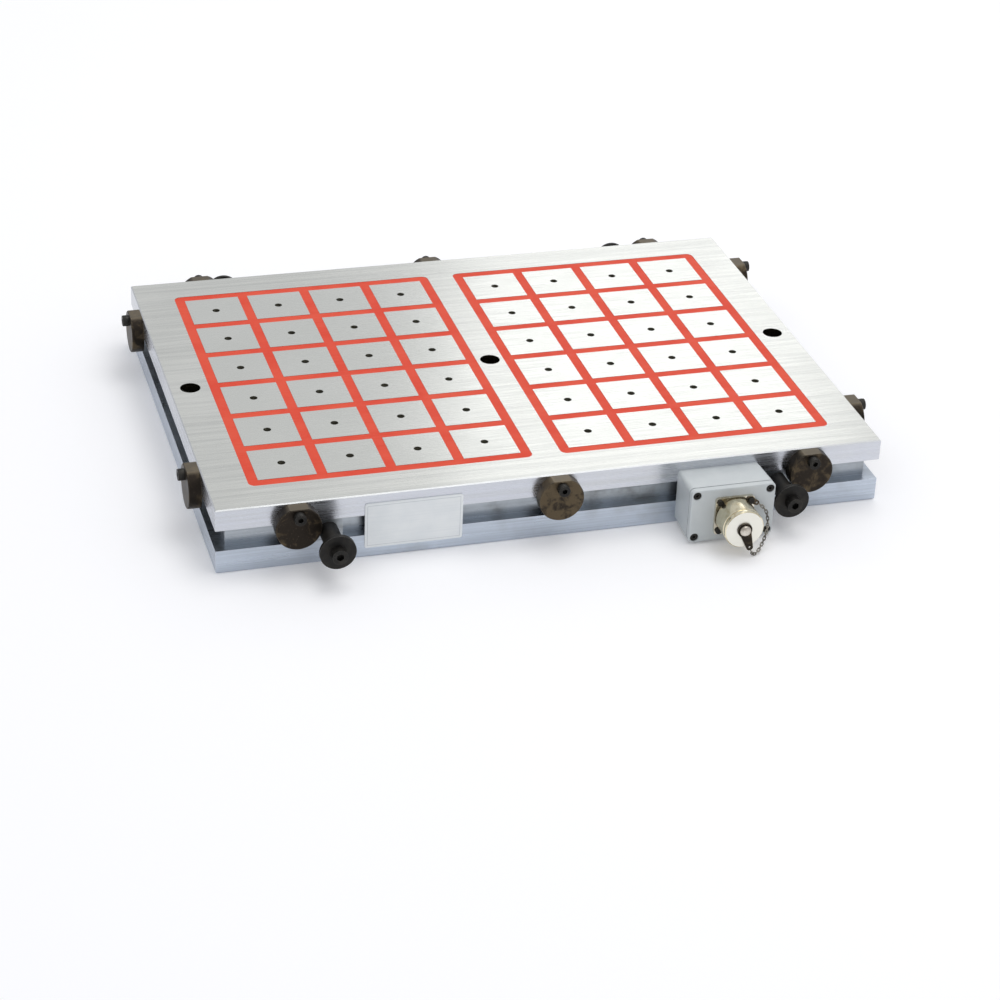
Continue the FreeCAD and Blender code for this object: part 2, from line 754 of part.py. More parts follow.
LID_BACK = "(box_depth + gasket_thickness)"
LID_FRONT = f"({LID_BACK} + lid_thickness)"
LID_SCREWS = [(f"{a} * lid_screw_width / 2", f"{b} * lid_screw_height / 2") for a, b in CORNERS]
FLANGE_SCREWS = [(f"{a} * flange_screw_spacing / 2", f"{b} * flange_screw_spacing / 2") for a, b in CORNERS]
AXIS_X = "(box_centre + connector_shift)"
AXIS_Z = "(box_middle - connector_drop)"


def housing_fixings(height):
    """Spots of the screws that hold the housing to one flange."""
    return [(f"box_centre + {a} * box_fixing", height) for a in (-1, 1)]


def circles(sketch, spots, diameter):
    """Equal circles at several spots."""
    for x, y in spots:
        circle(sketch, diameter, x, y)


def make_connector_housing():
    """Cast box: drafted walls, a boss in each corner for the lid's screws."""
    body = keep(new_body("connector_housing"))
    sketch = sketch_on(body, "box_depth")
    rounded_rectangle(sketch, "box_width", "box_height", "box_corner")
    pad(body, sketch, "box_depth", reverse=True, taper="-box_draft")
    sketch = sketch_on(body, "box_depth")
    rounded_rectangle(sketch, "box_width - 2 * box_wall", "box_height - 2 * box_wall", "box_corner - 1")
    pocket(body, sketch, "box_depth - box_wall", taper="-box_draft")
    sketch = sketch_on(body, "box_depth - box_boss_length")
    circles(sketch, LID_SCREWS, "box_boss")
    pad(body, sketch, "box_boss_length")
    sketch = sketch_on(body, "box_depth")
    circles(sketch, LID_SCREWS, "lid_screw + thread_slack")
    pocket(body, sketch, "box_boss_length - 3")
    sketch = sketch_on(body, "box_wall")
    circle(sketch, "bush_outside + thread_slack", "0", "bush_height - box_middle")
    for height in ("box_fixing_low", "box_fixing_high"):
        circles(sketch, [(f"{a} * box_fixing", f"{height} - box_middle") for a in (-1, 1)],
                "box_screw + hole_slack")
    pocket(body, sketch)
    on_side(body, "front", "box_centre", "box_middle")


def make_lid_gasket():
    """Flat gasket between housing and lid, covering the bosses too."""
    body = keep(new_body("lid_gasket"))
    sketch = sketch_on(body)
    rounded_rectangle(sketch, "box_width - 1", "box_height - 1", "box_corner")
    rounded_rectangle(sketch, "lid_screw_width - 12", "box_height - 8", "box_corner")
    circles(sketch, LID_SCREWS, "lid_screw + hole_slack")
    pad(body, sketch, "gasket_thickness")
    on_side(body, "front", "box_centre", "box_middle", "box_depth")


def make_housing_lid():
    """Front plate of the housing, which carries the connector."""
    body = keep(new_body("housing_lid"))
    sketch = sketch_on(body)
    rounded_rectangle(sketch, "box_width", "box_height", "box_corner")
    circle(sketch, "barrel_rear + hole_slack", "connector_shift", "-connector_drop")
    circles(sketch, [(f"{x} + connector_shift", f"{y} - connector_drop") for x, y in FLANGE_SCREWS],
            "flange_screw + thread_slack")
    pad(body, sketch, "lid_thickness")
    sketch = sketch_on(body, "lid_thickness")
    circles(sketch, LID_SCREWS, "lid_screw + hole_slack")
    counterbored(body, sketch, "lid_screw + hole_slack", "lid_screw_head + hole_slack", "lid_screw_sink")
    half_width, half_height = number("box_width / 2"), number("box_height / 2")
    soften(body, "Fillet", "lid_edge", lambda spot: spot.z > number("lid_thickness") - 0.01
           and (abs(spot.x) > half_width - 2 or abs(spot.y) > half_height - 2)
           and math.hypot(abs(spot.x) - number("lid_screw_width / 2"),
                          abs(spot.y) - number("lid_screw_height / 2")) > number("(lid_screw_head + hole_slack) / 2 + 0.01"))
    on_side(body, "front", "box_centre", "box_middle", LID_BACK)


def make_housing_screws():
    """Lid screws, sunk in the lid, and the screws inside that hold the housing to both flanges."""
    lid_master = cap_screw("lid_screw_master", "lid_screw", "lid_screw_head", "lid_screw_head_height",
                           "lid_screw_length")
    seats = [lambda link, x=x, y=y: on_side(link, "front", f"box_centre + {x}", f"box_middle + {y}",
                                            f"{LID_FRONT} - lid_screw_sink") for x, y in LID_SCREWS]
    repeated("lid_screws", lid_master, seats)
    master = cap_screw("housing_screw_master", "box_screw", "box_screw_head", "box_screw_head_height",
                       "box_wall + box_screw_grip - 1")
    spots = housing_fixings("box_fixing_low") + housing_fixings("box_fixing_high")
    seats = [lambda link, x=x, z=z: on_side(link, "front", x, z, "box_wall") for x, z in spots]
    repeated("housing_screws", master, seats)


def make_lead_bush():
    """Hollow bush that brings the coil leads through the side frame into the housing."""
    body = keep(new_body("lead_bush"))
    sketch = sketch_on(body)
    circle(sketch, "bush_outside")
    circle(sketch, "bush_inside")
    pad(body, sketch, f"(plate_depth - {FIELD_DEPTH}) / 2 + box_wall + 4")
    on_side(body, "front", "box_centre", "bush_height", f"-(plate_depth - {FIELD_DEPTH}) / 2")


# ---------------------------------------------------------------- connector and its cap


def on_axis(item, out, turn=0):
    """Puts an object on the connector's axis, its Z outwards, a distance out from the lid."""
    on_side(item, "front", AXIS_X, AXIS_Z, f"{LID_FRONT} + {out}")
    item.Placement.Rotation = item.Placement.Rotation * Rotation(Vector(0, 0, 1), turn)


def make_connector_shell():
    """Square-flanged shell with the threaded barrel in front and its tail in the housing."""
    body = keep(new_body("connector_shell"))
    sketch = sketch_on(body)
    rounded_rectangle(sketch, "flange_side", "flange_side", "flange_corner")
    circles(sketch, FLANGE_SCREWS, "flange_screw + thread_slack")
    pad(body, sketch, "flange_thickness")
    sketch = sketch_on(body, "flange_thickness")
    circle(sketch, "barrel_outside")
    pad(body, sketch, "barrel_length")
    sketch = sketch_on(body)
    circle(sketch, "barrel_rear")
    pad(body, sketch, "barrel_rear_length", reverse=True)
    sketch = sketch_on(body, "flange_thickness + barrel_length")
    circle(sketch, "barrel_inside")
    pocket(body, sketch)
    on_axis(body, "0")


def pin_spots():
    """Spots of the four contact pins round the connector's axis."""
    return [(f"{a} * pin_circle / 2 / sqrt(2)", f"{b} * pin_circle / 2 / sqrt(2)") for a, b in CORNERS]


def make_contacts():
    """Insulator pressed into the shell, and the four pins through it."""
    body = keep(new_body("connector_insert"))
    sketch = sketch_on(body)
    circle(sketch, "barrel_inside - thread_slack")
    circles(sketch, pin_spots(), "pin_diameter + thread_slack")
    pad(body, sketch, "insert_length")
    on_axis(body, "-barrel_rear_length")
    body = keep(new_body("connector_pins"))
    body.AllowCompound = True
    sketch = sketch_on(body)
    circles(sketch, pin_spots(), "pin_diameter")
    pad(body, sketch, "pin_length")
    on_axis(body, "-barrel_rear_length")


def make_flange_screws():
    """Pan-head screws of the connector's flange; the one over the chain eye sits higher."""
    body = new_body("flange_screw_master")
    sketch = sketch_on(body)
    circle(sketch, "flange_screw_head")
    pad(body, sketch, "flange_screw_head_height")
    sketch = sketch_on(body)
    circle(sketch, "flange_screw")
    pad(body, sketch, "flange_thickness + lid_thickness", reverse=True)
    seats = []
    for x, y in FLANGE_SCREWS:
        lift = "eye_thickness" if (x, y) == FLANGE_SCREWS[-1] else "0"
        seats.append(lambda link, x=x, y=y, lift=lift: on_side(
            link, "front", f"{AXIS_X} + {x}", f"{AXIS_Z} + {y}", f"{LID_FRONT} + flange_thickness + {lift}"))
    repeated("flange_screws", body, seats)


CAP_RIM = "(flange_thickness + cap_gap)"
CAP_FACE = f"({CAP_RIM} + cap_length)"


def make_cap():
    """Screw-on cover: a turned cup with a groove behind its bevelled front edge."""
    outer, inner, neck = "cap_outside / 2", "cap_inside / 2", "(rivet_neck + thread_slack) / 2"
    body = keep(new_body("connector_cap"))
    sketch = sketch_on(body, role="XZ_Plane")
    outline(sketch, [(inner, "0"), (outer, "0"), (outer, "cap_length - 5.5 * cap_bevel"),
                     (f"{outer} - cap_bevel", "cap_length - 5 * cap_bevel"),
                     (f"{outer} - cap_bevel", "cap_length - 4 * cap_bevel"),
                     (outer, "cap_length - 3.5 * cap_bevel"), (outer, "cap_length - cap_bevel"),
                     (f"{outer} - cap_bevel", "cap_length"), (neck, "cap_length"),
                     (neck, "cap_length - cap_wall"), (inner, "cap_length - cap_wall")])
    revolve(body, sketch)
    on_axis(body, CAP_RIM)
    body = keep(new_body("cap_seal"))
    sketch = sketch_on(body)
    circle(sketch, "cap_inside - thread_slack")
    circle(sketch, "seal_inside")
    pad(body, sketch, "seal_thickness")
    on_axis(body, f"{CAP_FACE} - cap_wall - seal_thickness - seat_gap")


def make_rivet():
    """Domed rivet in the cap's middle, on which the lug can swivel."""
    body = keep(new_body("cap_rivet"))
    sketch = sketch_on(body, role="XZ_Plane")
    inside, seat = "(cap_wall + seat_gap)", "(lug_thickness + 2 * seat_gap)"
    outline(sketch, [("0", f"-{inside} - rivet_tail"), ("rivet_neck / 2 + rivet_tail", f"-{inside} - rivet_tail"),
                     ("rivet_neck / 2 + rivet_tail", f"-{inside}"), ("rivet_neck / 2", f"-{inside}"),
                     ("rivet_neck / 2", seat), ("rivet_head / 2", seat),
                     ("rivet_head / 2", f"{seat} + rivet_head_height"), ("0", f"{seat} + rivet_head_height")])
    revolve(body, sketch)
    soften(body, "Fillet", "rivet_round", lambda spot: spot.z > number(f"{seat} + rivet_head_height") - 0.01)
    on_axis(body, CAP_FACE)


def strap(body, wide, narrow, length, thickness, hole_wide, hole_narrow):
    """Flat strap along -Y from an eye at the origin to a smaller eye."""
    sketch = sketch_on(body)
    circle(sketch, wide)
    pad(body, sketch, thickness)
    sketch = sketch_on(body)
    outline(sketch, [(f"-0.42 * ({wide})", "0"), (f"-0.5 * ({narrow})", f"-({length})"),
                     (f"0.5 * ({narrow})", f"-({length})"), (f"0.42 * ({wide})", "0")])
    pad(body, sketch, thickness)
    sketch = sketch_on(body)
    circle(sketch, narrow, "0", f"-({length})")
    pad(body, sketch, thickness)
    sketch = sketch_on(body, thickness)
    circle(sketch, hole_wide)
    circle(sketch, hole_narrow, "0", f"-({length})")
    pocket(body, sketch)


EYE_SEAT = FLANGE_SCREWS[-1]
EYE_OUT = f"({LID_FRONT} + flange_thickness)"
LUG_OUT = f"({CAP_FACE} + seat_gap)"


def make_chain_ends():
    """Lug under the rivet's head, and the eye under one flange screw."""
    body = keep(new_body("cap_lug"))
    strap(body, "lug_eye", "lug_tip", "lug_length", "lug_thickness", "rivet_neck + thread_slack", "2 * chain_wire")
    on_axis(body, LUG_OUT, number("lug_tilt"))
    body = keep(new_body("chain_eye"))
    strap(body, "eye_wide", "eye_narrow", "eye_length", "eye_thickness", "flange_screw + thread_slack",
          "2 * chain_wire")
    x, y = EYE_SEAT
    on_side(body, "front", f"{AXIS_X} + {x}", f"{AXIS_Z} + {y}", EYE_OUT)
    body.Placement.Rotation = body.Placement.Rotation * Rotation(Vector(0, 0, 1), number("eye_tilt"))


# ---------------------------------------------------------------- chain


def bent_path(points):
    """Wire of straight runs joined by tangent arcs, one arc at each inner point."""
    edges = []
    start = points[0]
    for before, corner, after in zip(points, points[1:], points[2:]):
        arriving, leaving = (corner - before).normalize(), (after - corner).normalize()
        turn = arriving.getAngle(leaving)
        reach = number("chain_share") * min((corner - before).Length, (after - corner).Length)
        radius = reach / math.tan(turn / 2)
        print(f"chain bend radius {radius:.1f} mm")
        arc_start, arc_end = corner - arriving * reach, corner + leaving * reach
        towards_hub = (leaving - arriving).normalize()
        middle = corner + towards_hub * (math.hypot(reach, radius) - radius)
        edges.append(Part.LineSegment(start, arc_start).toShape())
        edges.append(Part.Arc(arc_start, middle, arc_end).toShape())
        start = arc_end
    edges.append(Part.LineSegment(start, points[-1]).toShape())
    return Part.Wire(edges)


def away(point, tilt, distance):
    """Point at a distance from another in a plane parallel to the lid, tilted off plumb."""
    turn = math.radians(number(tilt))
    return point + Vector(math.sin(turn), 0, -math.cos(turn)) * number(distance)


def make_chain():
    """Plain tube along the slack chain, from the flange's eye round the cap and up to the lug."""
    lid = number(f"plate_depth / 2 + {LID_FRONT}")
    axis = Vector(number(AXIS_X), -lid, number(AXIS_Z))
    eye_seat = Vector(number(EYE_SEAT[0]), -number("flange_thickness + eye_thickness / 2"), number(EYE_SEAT[1]))
    lug_seat = Vector(0, -number(f"{LUG_OUT} + lug_thickness / 2"), 0)
    start = away(eye_seat, "eye_tilt", "eye_length + eye_narrow / 2 + seat_gap")
    end = away(away(lug_seat, "lug_tilt", "lug_length"), "chain_tilt", "lug_tip / 2 + 2 * seat_gap")
    route = [start, Vector(27.0, -5.0, 4.6), Vector(28.6, -8.8, -3.4), Vector(26.6, -14.2, -12.0),
             Vector(21.0, -20.4, -19.0), Vector(14.8, -25.8, -24.9), Vector(8.4, lug_seat.y, -25.4), end]
    path = bent_path([axis + point for point in route])
    first = path.Edges[0]
    section = Part.Circle(first.valueAt(first.FirstParameter), first.tangentAt(first.FirstParameter),
                          number("chain_width") / 2)
    tube = Part.Wire([section.toShape()])
    feature = doc.addObject("Part::Feature", "cap_chain")
    feature.Label = "cap_chain"
    feature.Shape = path.makePipeShell([tube], True, False)
    keep(feature)


# ---------------------------------------------------------------- the chuck


def build():
    """Every sub-part, from the base up and then round the sides."""
    make_base_plate()
    make_side_frame()
    make_face_frame()
    make_pole_columns()
    make_resin()
    repeated_in_fields("alnico_cores", core_block, z=CORE_BOTTOM)
    repeated_in_fields("coils", coil_ring, z=f"{CORE_BOTTOM} + 1")
    repeated_in_fields("column_magnets", column_magnet, columns="(field_columns - 1)", z=POLE_BOTTOM)
    repeated_in_fields("row_magnets", row_magnet, rows="(field_rows - 1)", z=POLE_BOTTOM)
    make_body_screws()
    make_stops()
    make_stop_screws()
    make_bollards()
    make_bollard_screws()
    make_name_plate()
    make_connector_housing()
    make_lid_gasket()
    make_housing_lid()
    make_housing_screws()
    make_lead_bush()
    make_connector_shell()
    make_contacts()
    make_flange_screws()
    make_cap()
    make_rivet()
    make_chain_ends()
    make_chain()


def check():
    """Stops on a failed feature or a bad shape."""
    doc.recompute()
    for item in doc.Objects:
        if "Invalid" in item.State or "Error" in item.State:
            raise RuntimeError(f"{item.Name}: {item.State}")
    for item in NODES:
        if item.Shape.isNull() or not item.Shape.isValid() or not item.Shape.Solids:
            raise RuntimeError(f"{item.Label}: bad shape")


build()
check()
os.makedirs("parts", exist_ok=True)
for item in NODES:
    item.Shape.exportStep(f"parts/{item.Label}.step")
    print(f"{item.Label}: {len(item.Shape.Solids)} solids, {item.Shape.Volume / 1000:.2f} cm3")
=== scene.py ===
"""Looks of the electro-permanent magnetic chuck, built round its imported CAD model. Metres, +Z up."""

import json
import math

import bmesh
import bpy
from mathutils import Matrix, Vector


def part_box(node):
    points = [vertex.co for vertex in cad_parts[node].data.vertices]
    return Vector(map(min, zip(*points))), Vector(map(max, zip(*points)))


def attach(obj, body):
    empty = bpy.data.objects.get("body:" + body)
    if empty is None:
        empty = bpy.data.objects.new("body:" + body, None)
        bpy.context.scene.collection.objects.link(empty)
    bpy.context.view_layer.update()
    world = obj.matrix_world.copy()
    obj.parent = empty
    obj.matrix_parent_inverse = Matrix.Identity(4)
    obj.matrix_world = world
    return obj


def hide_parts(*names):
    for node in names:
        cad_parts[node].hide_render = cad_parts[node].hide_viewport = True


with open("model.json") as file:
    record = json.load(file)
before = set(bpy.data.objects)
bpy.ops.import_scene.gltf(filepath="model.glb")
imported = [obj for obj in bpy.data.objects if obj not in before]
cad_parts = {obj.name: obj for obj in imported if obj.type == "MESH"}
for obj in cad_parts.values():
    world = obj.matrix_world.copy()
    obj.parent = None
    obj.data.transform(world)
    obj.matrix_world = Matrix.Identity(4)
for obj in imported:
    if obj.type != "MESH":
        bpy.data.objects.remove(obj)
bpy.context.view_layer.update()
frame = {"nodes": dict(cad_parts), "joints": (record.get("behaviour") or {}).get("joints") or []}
NODES = frame["nodes"]
MM = 0.001

# ---------------------------------------------------------------- material building


def tone(red, green, blue):
    """Linear colour of 8-bit screen values."""
    def linear(value):
        value /= 255
        return value / 12.92 if value <= 0.04045 else ((value + 0.055) / 1.055) ** 2.4
    return (linear(red), linear(green), linear(blue), 1)


class Paint:
    """One node material under construction; each method adds nodes and returns a socket."""

    def __init__(self, name, **constants):
        self.material = bpy.data.materials.new(name)
        self.material.use_nodes = True
        self.tree = self.material.node_tree
        self.shader = self.tree.nodes["Principled BSDF"]
        self.place = self.add("ShaderNodeTexCoord").outputs["Object"]
        geometry = self.add("ShaderNodeNewGeometry")
        self.normal = geometry.outputs["True Normal"]
        self.island = geometry.outputs["Random Per Island"]
        for socket, value in constants.items():
            self.shader.inputs[socket.replace("_", " ")].default_value = value

    def add(self, kind, **settings):
        node = self.tree.nodes.new(kind)
        for name, value in settings.items():
            setattr(node, name, value)
        return node

    def feed(self, socket, value):
        """Links a socket to a value, or sets its constant."""
        if isinstance(value, bpy.types.NodeSocket):
            self.tree.links.new(value, socket)
        else:
            socket.default_value = value

    def give(self, **values):
        """Drives the shader's own inputs."""
        for name, value in values.items():
            self.feed(self.shader.inputs[name.replace("_", " ")], value)
        return self.material

    def math(self, operation, first, second=0.0, clamp=False):
        node = self.add("ShaderNodeMath", operation=operation, use_clamp=clamp)
        self.feed(node.inputs[0], first)
        self.feed(node.inputs[1], second)
        return node.outputs[0]

    def axes(self, vector):
        """The three numbers of a vector."""
        node = self.add("ShaderNodeSeparateXYZ")
        self.feed(node.inputs[0], vector)
        return node.outputs

    def noise(self, scale, detail=3.0, roughness=0.55, stretch=(1, 1, 1), twist=0.0):
        """Noise from 0 to 1; stretch multiplies the pattern's frequency along each axis."""
        mapping = self.add("ShaderNodeMapping")
        self.feed(mapping.inputs["Vector"], self.place)
        mapping.inputs["Scale"].default_value = stretch
        texture = self.add("ShaderNodeTexNoise")
        self.feed(texture.inputs["Vector"], mapping.outputs[0])
        self.feed(texture.inputs["Scale"], scale)
        self.feed(texture.inputs["Detail"], detail)
        self.feed(texture.inputs["Roughness"], roughness)
        self.feed(texture.inputs["Distortion"], twist)
        return texture.outputs["Fac"]

    def span(self, value, low, high, start=0.0, end=1.0, smooth=True):
        """Maps low..high to start..end, clamped."""
        node = self.add("ShaderNodeMapRange", interpolation_type="SMOOTHSTEP" if smooth else "LINEAR")
        for index, number in enumerate((value, low, high, start, end)):
            self.feed(node.inputs[index], number)
        return node.outputs[0]

    def mix(self, factor, first, second, blend="MIX"):
        node = self.add("ShaderNodeMix", data_type="RGBA", blend_type=blend)
        self.feed(node.inputs["Factor"], factor)
        self.feed(node.inputs[6], first)
        self.feed(node.inputs[7], second)
        return node.outputs[2]

    def bump(self, height, strength, distance, under=None):
        node = self.add("ShaderNodeBump")
        self.feed(node.inputs["Strength"], strength)
        self.feed(node.inputs["Distance"], distance)
        self.feed(node.inputs["Height"], height)
        if under is not None:
            self.feed(node.inputs["Normal"], under)
        return node.outputs[0]

    def edges(self, radius):
        """1 on edges sharper than the radius, 0 on flats."""
        bevel = self.add("ShaderNodeBevel", samples=6)
        self.feed(bevel.inputs["Radius"], radius)
        dot = self.add("ShaderNodeVectorMath", operation="DOT_PRODUCT")
        self.feed(dot.inputs[0], bevel.outputs[0])
        self.feed(dot.inputs[1], self.normal)
        return self.span(dot.outputs["Value"], 0.995, 0.86)

    def within(self, node, margin=1.0 * MM):
        """1 further than the margin inside a node's outline seen from above, 0 on its outer sides."""
        low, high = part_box(node)
        place = self.axes(self.place)
        inside = 1.0
        for index in (0, 1):
            middle, half = (low[index] + high[index]) / 2, (high[index] - low[index]) / 2
            offset = self.math("ABSOLUTE", self.math("SUBTRACT", place[index], middle))
            inside = self.math("MULTIPLY", inside, self.math("LESS_THAN", offset, half - margin))
        return inside

    def facing(self, axis):
        """How squarely a face looks along an axis, either way."""
        return self.math("ABSOLUTE", self.axes(self.normal)["XYZ".index(axis)])

    def grain(self, scale, detail=2.0):
        """Fine lines along X, which turn along Y on the end faces."""
        along_x = self.noise(scale, detail, stretch=(0.012, 1, 1))
        along_y = self.noise(scale, detail, stretch=(1, 0.012, 1))
        side = self.span(self.facing("X"), 0.6, 0.8)
        node = self.add("ShaderNodeMix", data_type="FLOAT")
        self.feed(node.inputs[0], side)
        self.feed(node.inputs[2], along_x)
        self.feed(node.inputs[3], along_y)
        return node.outputs[0]


# ---------------------------------------------------------------- materials


def ground_steel(name):
    """Surface-ground steel above, milled and slightly blue at the sides, faint lines along X; the sides'
    bluer, darker tone is a painted reflection.
    """
    paint = Paint(name, Metallic=1.0, Anisotropic=0.55)
    fine = paint.grain(1500)
    broad = paint.grain(230, 3.0)
    cloud = paint.noise(9, 4.0)
    # Faces not turned up take a bluer, darker tone than the ground top: painted reflection of bluish
    # surroundings, partly the real milled finish.
    up = paint.span(paint.axes(paint.normal)[2], 0.5, 0.9)
    color = paint.mix(up, tone(206, 209, 217), tone(226, 227, 222))
    color = paint.mix(paint.span(broad, 0.35, 0.7, 0.0, 0.35), color, tone(186, 188, 186))
    color = paint.mix(paint.span(cloud, 0.4, 0.75, 0.0, 0.2), color, tone(232, 232, 228))
    # Paler edges: partly edge wear, partly painted edge highlight.
    color = paint.mix(paint.math("MULTIPLY", paint.edges(0.4 * MM), 0.35), color, tone(246, 247, 247))
    # Painted shade: walls inside the frame's outline, the bolt holes' bores, are painted dark olive.
    color = paint.mix(paint.math("MULTIPLY", paint.within("face_frame"), paint.math("SUBTRACT", 1.0, up)),
                      color, tone(74, 70, 55))
    rough = paint.math("ADD", paint.span(fine, 0.3, 0.7, 0.2, 0.3), paint.span(cloud, 0.3, 0.7, 0.0, 0.05))
    tangent = paint.add("ShaderNodeVectorMath", operation="CROSS_PRODUCT")
    paint.feed(tangent.inputs[0], paint.normal)
    tangent.inputs[1].default_value = (1, 0.02, 0.02)
    return paint.give(Base_Color=color, Roughness=rough, Tangent=tangent.outputs[0],
                      Normal=paint.bump(fine, 0.1, 0.01 * MM))


def pole_steel(name):
    """Ground steel of the poles: each a shade apart, with the thread in its hole."""
    paint = Paint(name, Metallic=1.0, Anisotropic=0.55)
    fine = paint.grain(1500)
    cloud = paint.noise(14, 4.0)
    spread = paint.span(paint.island, 0.0, 1.0, 0.0, 0.35, smooth=False)
    color = paint.mix(spread, tone(227, 228, 223), tone(214, 216, 211))
    color = paint.mix(paint.span(fine, 0.35, 0.7, 0.0, 0.25), color, tone(188, 190, 188))
    color = paint.mix(paint.span(cloud, 0.45, 0.7, 0.0, 0.2), color, tone(233, 233, 230))
    # Painted shade: the walls, the threaded holes' bores, are painted dark.
    wall = paint.span(paint.axes(paint.normal)[2], 0.5, 0.3)
    color = paint.mix(wall, color, tone(88, 86, 74))
    turns = paint.math("SINE", paint.math("MULTIPLY", paint.axes(paint.place)[2], math.tau / (1.25 * MM)))
    thread = paint.math("MULTIPLY", turns, wall)
    rough = paint.math("ADD", paint.span(fine, 0.3, 0.7, 0.2, 0.3), paint.math("MULTIPLY", wall, 0.2))
    tangent = paint.add("ShaderNodeVectorMath", operation="CROSS_PRODUCT")
    paint.feed(tangent.inputs[0], paint.normal)
    tangent.inputs[1].default_value = (1, 0.02, 0.02)
    grind = paint.bump(fine, 0.1, 0.01 * MM)
    return paint.give(Base_Color=color, Roughness=rough, Tangent=tangent.outputs[0],
                      Normal=paint.bump(thread, 0.9, 0.3 * MM, grind))


def milled_steel(name, shade, dirt, grime):
    """Milled steel with cutter lines along the sides and oily grime in random patches."""
    paint = Paint(name, Metallic=1.0)
    lines = paint.grain(700, 3.0)
    cloud = paint.noise(26, 5.0, 0.6)
    color = paint.mix(paint.span(lines, 0.3, 0.7, 0.0, 0.3), shade, tone(150, 156, 162))
    color = paint.mix(paint.span(cloud, 0.48, 0.75, 0.0, grime), color, dirt)
    # Paler edges: partly edge wear, partly painted edge highlight.
    color = paint.mix(paint.math("MULTIPLY", paint.edges(0.5 * MM), 0.4), color, tone(240, 243, 245))
    rough = paint.math("ADD", paint.span(lines, 0.3, 0.7, 0.26, 0.36), paint.span(cloud, 0.4, 0.8, 0.0, 0.12))
    return paint.give(Base_Color=color, Roughness=rough, Normal=paint.bump(lines, 0.2, 0.03 * MM))


def epoxy(name):
    """Red potting resin, ground flush, with specks of filler and the wheel's faint lines."""
    paint = Paint(name, IOR=1.5, Specular_IOR_Level=0.25)
    specks = paint.noise(1400, 2.0, 0.7)
    lines = paint.grain(900)
    cloud = paint.noise(30, 3.0)
    color = paint.mix(paint.span(cloud, 0.3, 0.7), tone(226, 68, 42), tone(232, 82, 54))
    color = paint.mix(paint.span(specks, 0.62, 0.72, 0.0, 0.35), color, tone(240, 128, 96))
    color = paint.mix(paint.span(lines, 0.55, 0.75, 0.0, 0.2), color, tone(190, 62, 42))
    rough = paint.span(lines, 0.3, 0.7, 0.42, 0.58)
    return paint.give(Base_Color=color, Roughness=rough, Normal=paint.bump(specks, 0.25, 0.03 * MM))


def worn_black(name, dark, worn, wear, rub_and_top_light):
    """Blackened steel rubbed back to brown metal: more wear bares more of it; upward faces are painted paler,
    as if lit from above.
    """
    paint = Paint(name, Metallic=0.85)
    patches = paint.noise(95, 6.0, 0.65, twist=0.4)
    fine = paint.noise(1100, 3.0, 0.6)
    color = paint.mix(paint.span(patches, 0.62 - wear * 0.3, 0.82 - wear * 0.3), dark, worn)
    # Painted light: upward faces, such as the stops' top flats, are painted paler as if lit from above.
    flat = paint.span(paint.axes(paint.normal)[2], 0.8, 0.98, 0.0, 0.5)
    color = paint.mix(flat, color, rub_and_top_light)
    color = paint.mix(paint.span(fine, 0.62, 0.75, 0.0, 0.4), color, rub_and_top_light)
    # Pale edges: partly edge wear, partly painted edge highlight.
    color = paint.mix(paint.math("MULTIPLY", paint.edges(0.5 * MM), 0.75), color, rub_and_top_light)
    rough = paint.math("ADD", paint.span(patches, 0.3, 0.7, 0.34, 0.48),
                       paint.span(fine, 0.3, 0.7, 0.0, 0.08))
    return paint.give(Base_Color=color, Roughness=rough, Normal=paint.bump(fine, 0.25, 0.03 * MM))


def black_oxide(name, rough_low=0.3, edge=0.6):
    """Black-oxide steel whose edges are paled grey by a given amount, partly rubbed wear and partly painted
    edge highlight.
    """
    paint = Paint(name, Metallic=0.7)
    fine = paint.noise(1300, 3.0, 0.6)
    cloud = paint.noise(120, 4.0)
    color = paint.mix(paint.span(cloud, 0.35, 0.7), tone(34, 33, 32), tone(52, 50, 46))
    color = paint.mix(paint.span(fine, 0.6, 0.75, 0.0, 0.35), color, tone(92, 90, 86))
    # Grey edges: partly edge wear, partly painted edge highlight.
    color = paint.mix(paint.math("MULTIPLY", paint.edges(0.35 * MM), edge), color, tone(132, 130, 125))
    rough = paint.math("ADD", paint.span(cloud, 0.3, 0.7, rough_low, rough_low + 0.12),
                       paint.span(fine, 0.3, 0.7, 0.0, 0.08))
    return paint.give(Base_Color=color, Roughness=rough, Normal=paint.bump(fine, 0.2, 0.02 * MM))


def grey_enamel(name):
    """Pale grey enamel on a casting: fine orange peel, chips on the edges."""
    paint = Paint(name, IOR=1.5, Coat_Weight=0.15, Coat_Roughness=0.3)
    peel = paint.noise(900, 2.0, 0.5)
    cloud = paint.noise(38, 4.0)
    chips = paint.noise(520, 4.0, 0.7)
    color = paint.mix(paint.span(cloud, 0.3, 0.75), tone(196, 202, 204), tone(206, 211, 212))
    edge = paint.math("MULTIPLY", paint.edges(0.6 * MM), paint.span(chips, 0.5, 0.62))
    color = paint.mix(paint.math("MULTIPLY", edge, 0.6), color, tone(150, 154, 158))
    rough = paint.span(cloud, 0.3, 0.7, 0.38, 0.5)
    return paint.give(Base_Color=color, Roughness=rough, Normal=paint.bump(peel, 0.25, 0.04 * MM))


